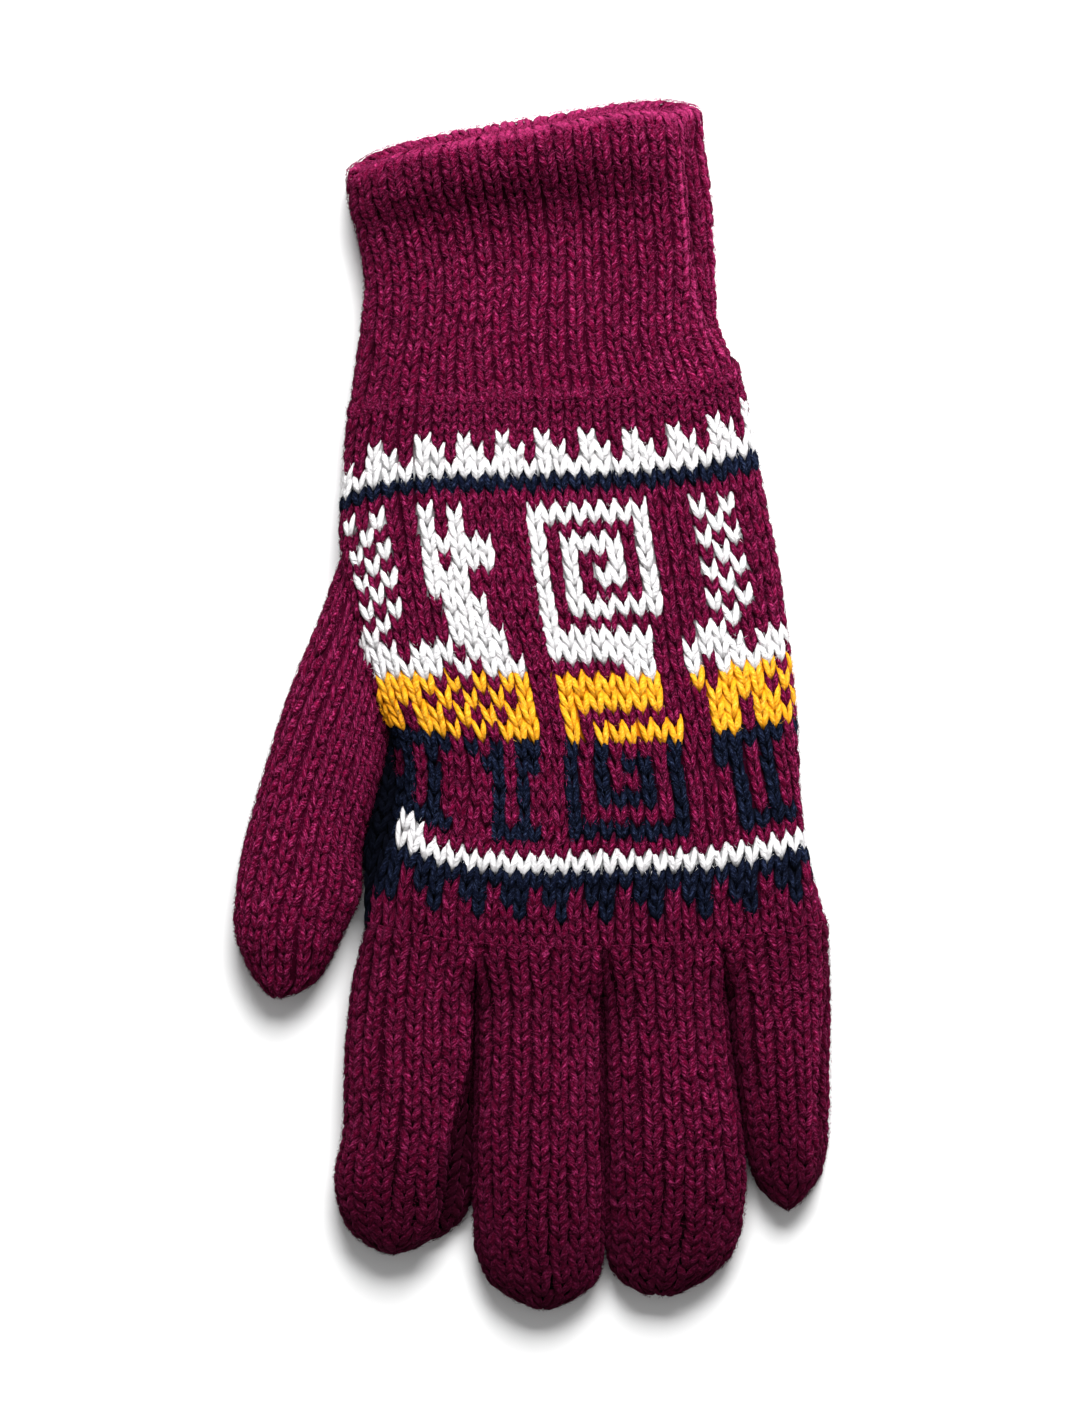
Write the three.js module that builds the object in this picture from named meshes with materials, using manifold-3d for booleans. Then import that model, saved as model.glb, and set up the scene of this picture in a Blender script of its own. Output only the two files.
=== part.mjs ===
// A knitted wool glove, lying flat with the back of the hand up.
// Units are millimetres. +X runs from the thumb to the little finger, +Y from the
// fingertips to the cuff and +Z up. The glove rests on the plane z = 0.
import * as THREE from "three";
import Module from "manifold-3d";
import { mergeVertices } from "three/addons/utils/BufferGeometryUtils.js";

const wasm = await Module();
wasm.setup();

const WALL = 2.7; // thickness of the knitted fabric
const SEAM = 0.16; // half of the gap where one tube goes on as the next
const SIDES = 28; // facets round each tube
const ROUNDNESS = 2.5; // power of the rounded sides and back: 2 is an ellipse
const FLATNESS = 4; // power of the underside, which lies flat
const THUMB_REACH = 8; // how far the thumb's tube runs into the hand before it is cut
const THUMB_ROOT = 9; // height of the thumb's tube where it starts inside the hand
const BURGUNDY = 0x731437;

// One row for each cross-section of a tube, from the cuff towards the fingertip.
// left and right are the two edges of the lying tube. rise is the height of its back
// at the left edge, the middle and the right edge. bow is how far the middle of the
// section runs ahead of its edges, towards the cuff. tuck is how far the upper layer
// stops short of the lower one along the right edge, or the left one if it is negative,
// and groove how deep the fold between the two layers goes. drop is how far the upper
// layer lies behind the lower, and crown how far all but the corners runs ahead.
// Columns that a row leaves out are 0.
const PLACE = ["leftX", "leftY", "rightX", "rightY", "riseL", "rise", "riseR"];
const COLUMNS = [...PLACE, "bow", "tuck", "groove", "drop", "crown"];

const CUFF = [
  [-40.0, 113.6, 36.4, 127.0, 15.0, 19.0, 20.5, 0.6, 3.4, 3.6, 3.0, 3.3],
  [-39.6, 108.4, 37.2, 119.0, 15.4, 18.8, 20.4, 1.2, 4.0, 4.6, 2.4, 2.0],
  [-37.8, 101.6, 38.6, 108.8, 14.6, 15.0, 19.0, 1.4, 4.2, 5.0, 1.2, 0.6],
  [-36.2, 92.2, 39.3, 97.8, 13.6, 13.4, 17.0, 0.8, 4.0, 5.0, 0.4],
  [-36.6, 84.0, 39.8, 88.2, 13.2, 13.6, 15.4, 0.4, 3.0, 4.0],
  [-38.0, 75.0, 40.6, 78.6, 13.4, 14.4, 14.6, 0.0, 1.4, 2.2],
  [-39.8, 64.6, 44.6, 66.8, 14.0, 14.8, 14.4, -0.4, 0.0, 0.6],
];

const HAND = [
  [-39.8, 64.6, 44.6, 66.8, 14.0, 14.8, 14.4, -0.4, 0.0, 0.6],
  [-41.0, 55.0, 46.9, 57.4, 14.2, 15.0, 14.4, -0.6],
  [-41.5, 40.8, 51.3, 43.4, 14.4, 15.2, 14.2, -1.0],
  [-40.6, 29.4, 53.2, 31.4, 14.4, 15.4, 14.2, -1.6],
  [-37.8, 17.0, 54.6, 18.6, 14.4, 15.4, 14.2, -2.2],
  [-34.4, 4.6, 55.8, 5.6, 14.4, 15.4, 14.2, -2.8],
  [-31.4, -7.6, 56.8, -7.4, 14.2, 15.2, 14.0, -3.4, -0.8],
  [-33.4, -18.8, 57.2, -19.4, 14.0, 15.0, 13.8, -4.0, -4.4],
  [-36.0, -30.0, 58.4, -30.6, 13.6, 14.6, 13.6, -4.6, -5.4],
  [-36.3, -39.4, 60.6, -39.8, 13.4, 14.2, 13.4, -5.0, -2.2],
  [-35.9, -48.6, 63.4, -48.2, 13.0, 14.0, 13.0, -5.0],
];

const THUMB = [
  [-41.2, 31.6, -30.4, -7.2, 11.6, 12.4, 11.6],
  [-45.4, 19.6, -32.6, -14.6, 12.8, 13.6, 12.8, 0.4],
  [-51.8, 3.8, -34.8, -22.4, 13.2, 14.0, 13.2, 0.6],
  [-57.8, -14.8, -37.2, -31.4, 13.2, 14.0, 13.0, 0.6],
  [-62.6, -32.8, -37.4, -41.0, 13.0, 13.8, 12.8, 0.4],
  [-64.2, -46.8, -40.8, -49.0, 12.6, 13.4, 12.6],
  [-62.6, -54.0, -43.8, -55.2, 11.4, 12.2, 11.4, -0.8],
  [-59.6, -59.8, -48.0, -60.6, 9.4, 9.8, 9.4, -1.0],
];

const INDEX_FINGER = [
  [-35.9, -48.6, -12.4, -52.8, 12.6, 13.4, 12.8, -0.3],
  [-38.8, -61.0, -12.4, -64.0, 12.4, 13.2, 12.6, -0.4, 0.4, 0.6],
  [-40.4, -76.0, -12.7, -77.6, 12.2, 13.0, 12.4, -0.4, 1.8, 2.0],
  [-40.6, -90.0, -13.2, -90.8, 12.2, 13.0, 12.2, -0.4, 4.4, 3.0],
  [-42.6, -102.0, -13.3, -102.6, 12.2, 13.0, 12.0, -0.6, 5.6, 3.0],
  [-41.2, -109.8, -14.6, -110.0, 11.6, 12.4, 11.4, -1.0, 4.2, 2.0],
  [-38.0, -115.0, -19.6, -114.8, 9.4, 10.2, 9.4, -1.4, 1.4, 0.6],
];

const MIDDLE_FINGER = [
  [-12.0, -52.9, 14.6, -53.5, 13.0, 13.4, 13.0, -0.3],
  [-12.0, -66.0, 14.8, -66.0, 12.6, 13.4, 12.6, -0.4],
  [-12.3, -80.0, 15.0, -80.0, 12.4, 13.4, 12.4, -0.5],
  [-12.7, -94.0, 15.2, -94.0, 12.4, 13.4, 12.4, -0.6],
  [-12.8, -106.0, 15.3, -106.0, 12.2, 13.2, 12.2, -0.8],
  [-12.2, -117.0, 15.2, -117.4, 11.6, 12.6, 11.6, -1.2],
  [-8.4, -125.4, 12.8, -125.4, 9.2, 10.2, 9.2, -1.6],
];

const RING_FINGER = [
  [15.0, -53.5, 40.3, -51.7, 13.0, 13.4, 13.0, -0.3],
  [15.2, -66.0, 41.7, -65.0, 12.6, 13.4, 12.6, -0.4],
  [15.4, -80.0, 43.2, -79.2, 12.4, 13.4, 12.4, -0.5],
  [15.6, -93.0, 45.0, -92.4, 12.4, 13.4, 12.4, -0.6],
  [15.7, -105.0, 45.7, -104.8, 12.2, 13.2, 12.2, -0.8],
  [15.8, -115.8, 44.0, -115.8, 11.6, 12.6, 11.6, -1.2],
  [18.0, -123.4, 39.0, -122.8, 9.2, 10.2, 9.2, -1.4],
];

const LITTLE_FINGER = [
  [40.7, -51.6, 63.4, -48.2, 12.8, 13.2, 12.4, -0.3],
  [42.0, -62.6, 64.1, -60.6, 12.2, 13.0, 12.2, -0.4, 0.6, 0.8],
  [43.4, -75.0, 64.4, -74.6, 12.0, 12.8, 12.0, -0.4, 2.0, 2.4],
  [45.0, -87.6, 64.3, -87.6, 12.0, 12.6, 12.0, -0.4, 2.6, 2.6],
  [46.3, -97.0, 63.7, -97.2, 11.4, 12.0, 11.4, -0.6, 1.8, 1.8],
  [48.6, -103.4, 61.4, -103.2, 9.4, 10.0, 9.4, -1.0, 0.6, 0.6],
];

// The foremost point of each closed tube, and its height above the rest plane.
const TIPS = {
  thumb: [-55.2, -63.2, 4.6],
  index_finger: [-30.2, -118.4, 4.6],
  middle_finger: [2.2, -130.4, 4.6],
  ring_finger: [27.4, -127.9, 4.6],
  little_finger: [55.0, -108.9, 4.6],
};

const named = (row) => Object.fromEntries(COLUMNS.map((name, i) => [name, row[i] ?? 0]));

const blendRows = (a, b, t) => {
  const row = {};
  for (const name of COLUMNS) row[name] = a[name] + (b[name] - a[name]) * t;
  return row;
};

// Moves a section along its tube: ahead is measured towards the cuff.
const slide = (row, ahead) => {
  const across = new THREE.Vector2(row.rightX - row.leftX, row.rightY - row.leftY).normalize();
  return {
    ...row,
    leftX: row.leftX - across.y * ahead,
    leftY: row.leftY + across.x * ahead,
    rightX: row.rightX - across.y * ahead,
    rightY: row.rightY + across.x * ahead,
  };
};

// The same section with the gap that a neighbour keeps to it.
const widen = (row) => {
  const gap = 2 * SEAM;
  return {
    ...row,
    leftX: row.leftX - gap,
    rightX: row.rightX + gap,
    riseL: row.riseL + gap,
    rise: row.rise + gap,
    riseR: row.riseR + gap,
  };
};

// The ring of points of one section. inset is 0 on the outside of the fabric and WALL
// on its inside.
function ring(row, inset) {
  const left = new THREE.Vector2(row.leftX, row.leftY);
  const right = new THREE.Vector2(row.rightX, row.rightY);
  const middle = left.clone().add(right).multiplyScalar(0.5);
  const across = right.clone().sub(left).normalize();
  const ahead = new THREE.Vector2(-across.y, across.x);
  const half = right.distanceTo(left) / 2;
  const tuckedSide = row.tuck < 0 ? -1 : 1;
  const points = [];
  for (let i = 0; i < SIDES; i++) {
    const angle = (2 * Math.PI * (i + 0.5)) / SIDES;
    const c = Math.cos(angle);
    const s = Math.sin(angle);
    const power = 2 / (s > 0 ? ROUNDNESS : FLATNESS);
    const u = Math.sign(c) * Math.abs(c) ** power;
    const edge = u < 0 ? row.riseL : row.riseR;
    const top = row.rise + (edge - row.rise) * u * u - inset;
    const centre = (top + inset) / 2;
    const lift = Math.abs(s) ** power;
    const above = centre + (top - centre) * lift;
    const below = Math.max(inset, centre - (centre - inset) * 1.3 * lift);
    const z = s > 0 ? above : below;
    const upper = THREE.MathUtils.smoothstep(z, centre, centre + 3);
    const fold = row.groove * Math.exp(-(((z - centre) / 2.2) ** 2));
    const folded = Math.max(u * tuckedSide, 0) ** 4 * (Math.abs(row.tuck) * upper + fold);
    const along = u * (half - inset) - tuckedSide * folded;
    const shift = row.bow * (1 - u * u) + row.crown * (1 - u ** 8) - row.drop * upper;
    const p = middle.clone().addScaledVector(across, along).addScaledVector(ahead, shift);
    points.push([p.x, p.y, z]);
  }
  return points;
}

// Closes a stack of rings into one skin. Each end is a point, a flat cap, or left open.
function skin(rings, startPoint, endPoint) {
  const positions = rings.flat(2);
  const faces = [];
  for (let k = 0; k + 1 < rings.length; k++) {
    for (let i = 0; i < SIDES; i++) {
      const j = (i + 1) % SIDES;
      const [a, b, c, d] = [k * SIDES + i, k * SIDES + j, (k + 1) * SIDES + j, (k + 1) * SIDES + i];
      faces.push(a, b, c, a, c, d);
    }
  }
  const fan = (point, start, flip) => {
    const hub = positions.length / 3;
    positions.push(...point);
    for (let i = 0; i < SIDES; i++) {
      const j = (i + 1) % SIDES;
      faces.push(...(flip ? [hub, start + j, start + i] : [hub, start + i, start + j]));
    }
  };
  fan(startPoint, 0, true);
  fan(endPoint, (rings.length - 1) * SIDES, false);
  const geometry = new THREE.BufferGeometry();
  geometry.setAttribute("position", new THREE.Float32BufferAttribute(positions, 3));
  geometry.setIndex(faces);
  return geometry;
}

function centreOf(points) {
  return [0, 1, 2].map((axis) => points.reduce((sum, p) => sum + p[axis], 0) / points.length);
}

function toSolid(geometry) {
  const merged = mergeVertices(geometry, 1e-5);
  const mesh = new wasm.Mesh({
    numProp: 3,
    vertProperties: new Float32Array(merged.attributes.position.array),
    triVerts: new Uint32Array(merged.index.array),
  });
  return new wasm.Manifold(mesh);
}

function toGeometry(solid) {
  const mesh = solid.getMesh();
  const geometry = new THREE.BufferGeometry();
  geometry.setAttribute("position", new THREE.Float32BufferAttribute(mesh.vertProperties, 3));
  geometry.setIndex(Array.from(mesh.triVerts));
  const faceted = geometry.toNonIndexed();
  faceted.computeVertexNormals();
  return faceted;
}

// A smooth run of sections through the table's rows, with extra ones between them.
function sections(table, between) {
  const rows = table.map(named);
  const run = [];
  for (let k = 0; k + 1 < rows.length; k++) {
    const before = rows[Math.max(k - 1, 0)];
    const after = rows[Math.min(k + 2, rows.length - 1)];
    for (let step = 0; step < between; step++) {
      const t = step / between;
      const row = {};
      for (const name of COLUMNS) {
        const [a, b, c, d] = [before[name], rows[k][name], rows[k + 1][name], after[name]];
        row[name] = b + 0.5 * t * (c - a + t * (2 * a - 5 * b + 4 * c - d + t * (3 * (b - c) + d - a)));
      }
      run.push(row);
    }
  }
  run.push(rows[rows.length - 1]);
  return run;
}

// A tube that is open at both ends.
function openTube(rows) {
  const outer = rows.map((row) => ring(row, 0));
  const first = slide(rows[0], 4);
  const last = slide(rows[rows.length - 1], -4);
  const inner = [first, ...rows, last].map((row) => ring(row, WALL));
  const capped = (rings) => toSolid(skin(rings, centreOf(rings[0]), centreOf(rings[rings.length - 1])));
  return { body: capped(outer), hollow: capped(inner) };
}

// A tube that is open towards the cuff and closed at its tip.
function closedTube(rows, tip) {
  const outer = rows.map((row) => ring(row, 0));
  const inner = [slide(rows[0], 4), ...rows.slice(0, -1)].map((row) => ring(row, WALL));
  const end = rows[rows.length - 1];
  const roof = blendRows(rows[rows.length - 2], end, 0.6);
  const innerTip = [(roof.leftX + roof.rightX) / 2, (roof.leftY + roof.rightY) / 2, roof.rise / 2];
  return {
    body: toSolid(skin(outer, centreOf(outer[0]), tip)),
    hollow: toSolid(skin(inner, centreOf(inner[0]), innerTip)),
  };
}

const wool = (name) =>
  new THREE.MeshStandardMaterial({ name: `${name}_wool`, color: BURGUNDY, roughness: 0.95, metalness: 0 });

const glove = new THREE.Group();
glove.name = "glove";

function add(name, solid) {
  const mesh = new THREE.Mesh(toGeometry(solid), wool(name));
  mesh.name = name;
  glove.add(mesh);
}

// The cuff ends half a seam before the hand starts.
const cuffRows = sections(CUFF, 2);
cuffRows[cuffRows.length - 1] = slide(cuffRows[cuffRows.length - 1], SEAM);
const cuff = openTube(cuffRows);
add("cuff", cuff.body.subtract(cuff.hollow));

// The thumb's tube runs on into the hand, and is cut off at the hand's own skin.
const handRows = sections(HAND, 1);
handRows[0] = slide(handRows[0], -SEAM);
handRows[handRows.length - 1] = slide(handRows[handRows.length - 1], SEAM);
const hand = openTube(handRows);
const clearOfHand = toSolid(
  skin(
    handRows.map((row) => ring(widen(row), 0)),
    centreOf(ring(handRows[0], 0)),
    centreOf(ring(handRows[handRows.length - 1], 0)),
  ),
);
const thumbRows = sections(THUMB, 2);
const root = { riseL: THUMB_ROOT, rise: THUMB_ROOT, riseR: THUMB_ROOT };
thumbRows.unshift({ ...slide(thumbRows[0], THUMB_REACH), ...root });
const thumb = closedTube(thumbRows, TIPS.thumb);
add("hand", hand.body.subtract(hand.hollow).subtract(thumb.hollow));
add("thumb", thumb.body.subtract(clearOfHand).subtract(thumb.hollow));

for (const [name, table] of [
  ["index_finger", INDEX_FINGER],
  ["middle_finger", MIDDLE_FINGER],
  ["ring_finger", RING_FINGER],
  ["little_finger", LITTLE_FINGER],
]) {
  const rows = sections(table, 2);
  rows[0] = slide(rows[0], -SEAM);
  const finger = closedTube(rows, TIPS[name]);
  add(name, finger.body.subtract(finger.hollow));
}

export default glove;
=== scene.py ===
import math

import bmesh
import bpy
import numpy as np
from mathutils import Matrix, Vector
from mathutils.bvhtree import BVHTree


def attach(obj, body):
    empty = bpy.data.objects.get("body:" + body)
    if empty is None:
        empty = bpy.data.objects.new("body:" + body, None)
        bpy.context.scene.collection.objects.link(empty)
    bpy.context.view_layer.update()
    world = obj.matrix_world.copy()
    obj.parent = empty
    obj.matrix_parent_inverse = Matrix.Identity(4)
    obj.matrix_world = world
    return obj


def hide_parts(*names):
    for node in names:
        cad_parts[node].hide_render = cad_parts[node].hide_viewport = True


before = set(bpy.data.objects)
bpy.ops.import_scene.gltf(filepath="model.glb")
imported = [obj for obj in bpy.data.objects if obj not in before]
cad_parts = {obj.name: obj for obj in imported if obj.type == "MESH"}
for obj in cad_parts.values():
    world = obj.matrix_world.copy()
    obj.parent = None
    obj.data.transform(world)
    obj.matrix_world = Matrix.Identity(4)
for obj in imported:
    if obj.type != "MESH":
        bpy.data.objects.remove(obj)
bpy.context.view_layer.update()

MM = 0.001


def set_out(name, data):
    """A new object, set out in the scene."""
    made = bpy.data.objects.new(name, data)
    bpy.context.scene.collection.objects.link(made)
    return made


# The camera hangs straight over the lying glove, with the cuff at the top of its view
# and the fingers at the bottom, and has a long lens so that nothing leans.
PIXEL = 0.215 * MM
VIEW_HIGH = 1423 * PIXEL
VIEW_CENTRE = (0.1 * MM, -1.72 * MM)
CAMERA_HEIGHT = 1.6
BACK_HEIGHT = 10 * MM
SENSOR_HIGH = 36

camera = set_out("camera", bpy.data.cameras.new("camera"))
camera.data.sensor_fit = "VERTICAL"
camera.data.sensor_height = SENSOR_HIGH
camera.data.lens = SENSOR_HIGH * (CAMERA_HEIGHT - BACK_HEIGHT) / VIEW_HIGH
camera.data.clip_end = 20
camera.location = (*VIEW_CENTRE, CAMERA_HEIGHT)
bpy.context.scene.camera = camera


# A white sweep of paper lies under the glove. A soft window light stands close beyond the
# cuff, so that it falls off towards the fingertips, and the surround is faint and white.
WINDOW_PLACE = Vector((0.16, 1.12, 0.86))
WINDOW_SIZE = 0.90
WINDOW_POWER = 52

bpy.context.scene.view_settings.view_transform = "Standard"

floor_form = bmesh.new()
bmesh.ops.create_grid(floor_form, x_segments=8, y_segments=8, size=1.5)
floor_mesh = bpy.data.meshes.new("floor")
floor_form.to_mesh(floor_mesh)
floor_form.free()
floor = set_out("floor", floor_mesh)
paper = bpy.data.materials.new("white_paper")
paper.use_nodes = True
paper_look = paper.node_tree.nodes["Principled BSDF"].inputs
paper_look["Base Color"].default_value = (0.9, 0.9, 0.9, 1)
paper_look["Roughness"].default_value = 0.9
paper_look["Specular IOR Level"].default_value = 0.1
floor_mesh.materials.append(paper)

surround = bpy.data.worlds.new("surround")
surround.use_nodes = True
surround_look = surround.node_tree.nodes["Background"].inputs
surround_look["Color"].default_value = (1, 1, 1, 1)
surround_look["Strength"].default_value = 0.34
bpy.context.scene.world = surround

lamp = bpy.data.lights.new("window", "AREA")
lamp.size = WINDOW_SIZE
lamp.energy = WINDOW_POWER
window = set_out("window", lamp)
window.location = WINDOW_PLACE
window.rotation_euler = (-WINDOW_PLACE).to_track_quat("-Z", "Y").to_euler()


# The cuff is a plain tube of burgundy wool, worked round in stockinette. Its mouth is
# turned in and hemmed, so the edge is a thick soft roll that stands up from the rest.

# A row of a table is one cross-section of a tube, in millimetres, from the cuff towards
# the fingertip. left and right are its two edges and rise the height of its back at the
# left edge, the middle and the right edge. Towards the cuff, bow is how far the middle
# runs ahead of the edges, sweep how far the knitted rows run ahead at each edge, crown
# how far all but the corners does, and drop how far the upper layer lies behind. tuck is
# how far the upper layer stops short of the lower one at the right edge, or at the left
# if it is negative, and groove how deep the fold between them goes. lean is how far right
# of the middle the middle column lies, and floor the height of the underside. What a row
# leaves out is 0.
SECTION = ("left_x", "left_y", "right_x", "right_y", "rise_l", "rise", "rise_r", "bow",
           "sweep_l", "sweep_r", "tuck", "lean", "groove", "drop", "crown", "floor")
CUFF = [
    (-40.0, 113.6, 36.4, 127.0, 15.0, 19.0, 20.5, 0.6, 0.0, 0.0, 3.4, 0.0, 3.6, 3.0, 3.3),
    (-39.6, 108.4, 37.2, 119.0, 15.2, 18.6, 20.4, 1.2, 0.0, 0.0, 4.0, 0.0, 4.6, 2.4, 2.0),
    (-37.8, 101.6, 38.6, 108.8, 13.6, 13.8, 19.0, 1.4, 0.0, 0.0, 4.2, 0.0, 5.0, 1.2, 0.6),
    (-36.2, 92.2, 39.3, 97.8, 13.2, 12.8, 17.0, 0.8, 0.0, 0.0, 4.0, 0.0, 5.0, 0.4),
    (-36.6, 84.0, 39.8, 88.2, 13.2, 13.6, 15.4, 0.4, 0.0, 0.0, 3.0, 0.0, 4.0),
    (-38.0, 75.0, 40.6, 78.6, 13.4, 14.4, 14.6, 0.0, -1.5, 2.5, 1.4, 0.0, 2.2),
    (-39.8, 64.6, 44.6, 66.8, 14.0, 14.8, 14.4, -0.4, -3.0, 5.0, 0.0, 0.0, 0.6),
]
CUFF_COLUMNS = 44
CUFF_ROW = 2.6
FABRIC = 2.7
HEM = 4.2
HEM_DEPTH = 16.0
HEM_STEPS = 14

# A section is rounded by one power over its back and by a flatter one below, where it is
# pressed down on the table. Its layers part between these heights above its middle, and
# the fold between them is so high. Each tube's form runs on past its ends.
ROUNDNESS = 2.5
FLATNESS = 4.0
PRESSED_DOWN = 1.3
LAYERS_MEET = (-0.4, 1.2)
FOLD_HIGH = 2.2
TURN = 240
RUN_ON = 4.0


def field(run, name):
    """One column of a run of sections."""
    return run[:, SECTION.index(name)]


def travelled(line):
    """How far along a line of points each of them lies."""
    return np.concatenate(([0], np.cumsum(np.linalg.norm(np.diff(line, axis=0), axis=1))))


def unit(ways):
    """The same ways, each with a length of 1."""
    return ways / np.maximum(np.linalg.norm(ways, axis=-1, keepdims=True), 1e-9)


def run_through(table, after=None, steps=40):
    """A dense smooth run of sections through the rows of a table."""
    rows = np.array([(*row, *[0.0] * (len(SECTION) - len(row))) for row in table])
    last = rows[-1] if after is None else after
    padded = np.vstack((rows[0], rows, last))
    places = np.linspace(0, len(rows) - 1, steps * (len(rows) - 1) + 1)
    k = np.minimum(places.astype(int), len(rows) - 2)
    t = (places - k)[:, None]
    a, b, c, d = (padded[k + i] for i in range(4))
    return b + 0.5 * t * (c - a + t * (2 * a - 5 * b + 4 * c - d + t * (3 * (b - c) + d - a)))


def slid(run, ahead):
    """The same sections moved along their tube, towards the cuff."""
    across = unit(np.column_stack((field(run, "right_x") - field(run, "left_x"),
                                   field(run, "right_y") - field(run, "left_y"))))
    moved = run.copy()
    for side in ("left", "right"):
        moved[:, SECTION.index(side + "_x")] -= across[:, 1] * ahead
        moved[:, SECTION.index(side + "_y")] += across[:, 0] * ahead
    return moved


def rings(run, inset=0.0):
    """Points round each section, from the middle of the back over the right edge."""
    inset = np.broadcast_to(inset, len(run))[:, None]
    one = {name: field(run, name)[:, None] for name in SECTION}
    left = np.dstack((one["left_x"], one["left_y"]))
    right = np.dstack((one["right_x"], one["right_y"]))
    width = np.linalg.norm(right - left, axis=2)
    leaning = 2 * one["lean"] / np.maximum(width, 1e-6)
    start = np.arccos(np.sign(leaning) * np.abs(leaning) ** (ROUNDNESS / 2))
    angle = start - np.linspace(0, 2 * math.pi, TURN + 1)[None, :]
    c, s = np.cos(angle), np.sin(angle)
    power = 2 / np.where(s > 0, ROUNDNESS, FLATNESS)
    u = np.sign(c) * np.abs(c) ** power
    lift = np.abs(s) ** power
    across = (right - left) / np.maximum(width, 1e-6)[:, :, None]
    ahead = np.dstack((-across[:, :, 1], across[:, :, 0]))
    edge = np.where(u < 0, one["rise_l"], one["rise_r"])
    top = one["rise"] + (edge - one["rise"]) * u ** 2 - inset
    low = one["floor"] + inset
    centre = (top + low) / 2
    z = np.where(s > 0, centre + (top - centre) * lift,
                 np.maximum(low, centre - (centre - low) * PRESSED_DOWN * lift))
    start_up, all_up = LAYERS_MEET
    rising = np.clip((z - centre - start_up) / (all_up - start_up), 0, 1)
    upper = rising * rising * (3 - 2 * rising)
    fold = one["groove"] * np.exp(-(((z - centre) / FOLD_HIGH) ** 2))
    side = np.where(one["tuck"] < 0, -1, 1)
    folded = np.maximum(u * side, 0) ** 4 * (np.abs(one["tuck"]) * upper + fold)
    along = u * (width / 2 - inset) - side * folded
    sweep = np.where(u < 0, one["sweep_l"], one["sweep_r"]) * np.abs(u) ** 5
    ahead_by = one["bow"] * (1 - u ** 2) + one["crown"] * (1 - u ** 8) - one["drop"] * upper + sweep
    flat = (left + right) / 2 + across * along[:, :, None] + ahead * ahead_by[:, :, None]
    return np.dstack((flat, z))


class Skin:
    """The surface of a tube, measured in knitted rows and columns.

    It is made from dense sections, the number of its first row with the places of all rows
    along the back, and the number of columns. Rows count towards the fingertip and columns
    towards the little finger, with column 0 a given number of columns left of the middle of
    the back."""

    STEPS = 4
    UNDERSIDE = -0.35

    def __init__(self, dense, row_places, columns, middle_column=0.0):
        self.columns = columns
        self.middle_column = middle_column
        self.first = row_places[0]
        counts = np.arange(len(row_places[1]) * self.STEPS - self.STEPS + 1) / self.STEPS
        wanted = np.interp(counts, np.arange(len(row_places[1])), row_places[1])
        spots = np.interp(wanted, travelled(dense[:, 0]), np.arange(len(dense)))
        low = np.minimum(spots.astype(int), len(dense) - 2)
        part = (spots - low)[:, None, None]
        lines = dense[low] * (1 - part) + dense[low + 1] * part
        round_to = np.linspace(0, 1, columns * self.STEPS + 1)
        grid = np.empty((len(lines), len(round_to), 3))
        self.girth = np.empty(len(lines))
        for i, line in enumerate(lines):
            length = travelled(line)
            self.girth[i] = length[-1]
            for axis in range(3):
                grid[i, :, axis] = np.interp(round_to * length[-1], length, line[:, axis])
        self.grid = grid
        ring = grid[:, :-1]
        right = np.roll(ring, -1, axis=1) - np.roll(ring, 1, axis=1)
        onward = np.gradient(ring, axis=0)
        normal = unit(np.cross(onward, right))
        self.normals = np.concatenate((normal, normal[:, :1]), axis=1)
        self.open = np.ones(self.normals.shape[:2] + (1,))

    def _blend(self, values, row, column):
        """Values of the grid at places between its lines."""
        row, column = np.asarray(row, float), np.asarray(column, float)
        i = np.clip((row - self.first) * self.STEPS, 0, len(self.grid) - 1.001)
        j = ((column - self.middle_column) % self.columns) * self.STEPS
        i0, j0 = i.astype(int), np.minimum(j.astype(int), self.columns * self.STEPS - 1)
        s, t = (i - i0)[..., None], (j - j0)[..., None]
        near = values[i0, j0] * (1 - t) + values[i0, j0 + 1] * t
        far = values[i0 + 1, j0] * (1 - t) + values[i0 + 1, j0 + 1] * t
        return near * (1 - s) + far * s

    def at(self, row, column, height=0.0):
        """Places on the skin, in millimetres, raised by height."""
        normal = unit(self._blend(self.normals, row, column))
        return self._blend(self.grid, row, column) + normal * np.asarray(height)[..., None]

    def faces_down(self, row, column):
        """Whether places on the skin look at the table."""
        return self._blend(self.normals, row, column)[..., 2] < self.UNDERSIDE

    def painted_light_at(self, row, column):
        """The painted light of places on the skin: 1 on the flat back, less in a fold."""
        return self._blend(self.open, row, column)[..., 0]

    def girth_at(self, row):
        """How far it is round the tube at a row, in millimetres."""
        return np.interp((row - self.first) * self.STEPS, np.arange(len(self.girth)), self.girth)


# One half of a stitch: a soft bowed strand that comes up out of the fabric at the point
# of its V, swells, and dives under the next stitch. It is two rows high in all and closed,
# and is bent out of a straight rod.

# A row of its path is how far across it lies in columns, how far along in rows and how
# high above the skin in millimetres, its half width in columns, and its half thickness.
LEG_PATH = np.array([
    (0.050, 0.96, -1.40, 0.08, 0.30),
    (0.095, 0.60, -0.56, 0.160, 0.66),
    (0.175, 0.20, -0.32, 0.212, 0.78),
    (0.260, -0.24, -0.36, 0.216, 0.76),
    (0.335, -0.68, -0.66, 0.180, 0.64),
    (0.395, -1.06, -1.45, 0.09, 0.30),
])
LEG_MIDDLE = 0.235
LEG_LENGTH = 4.6


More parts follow.
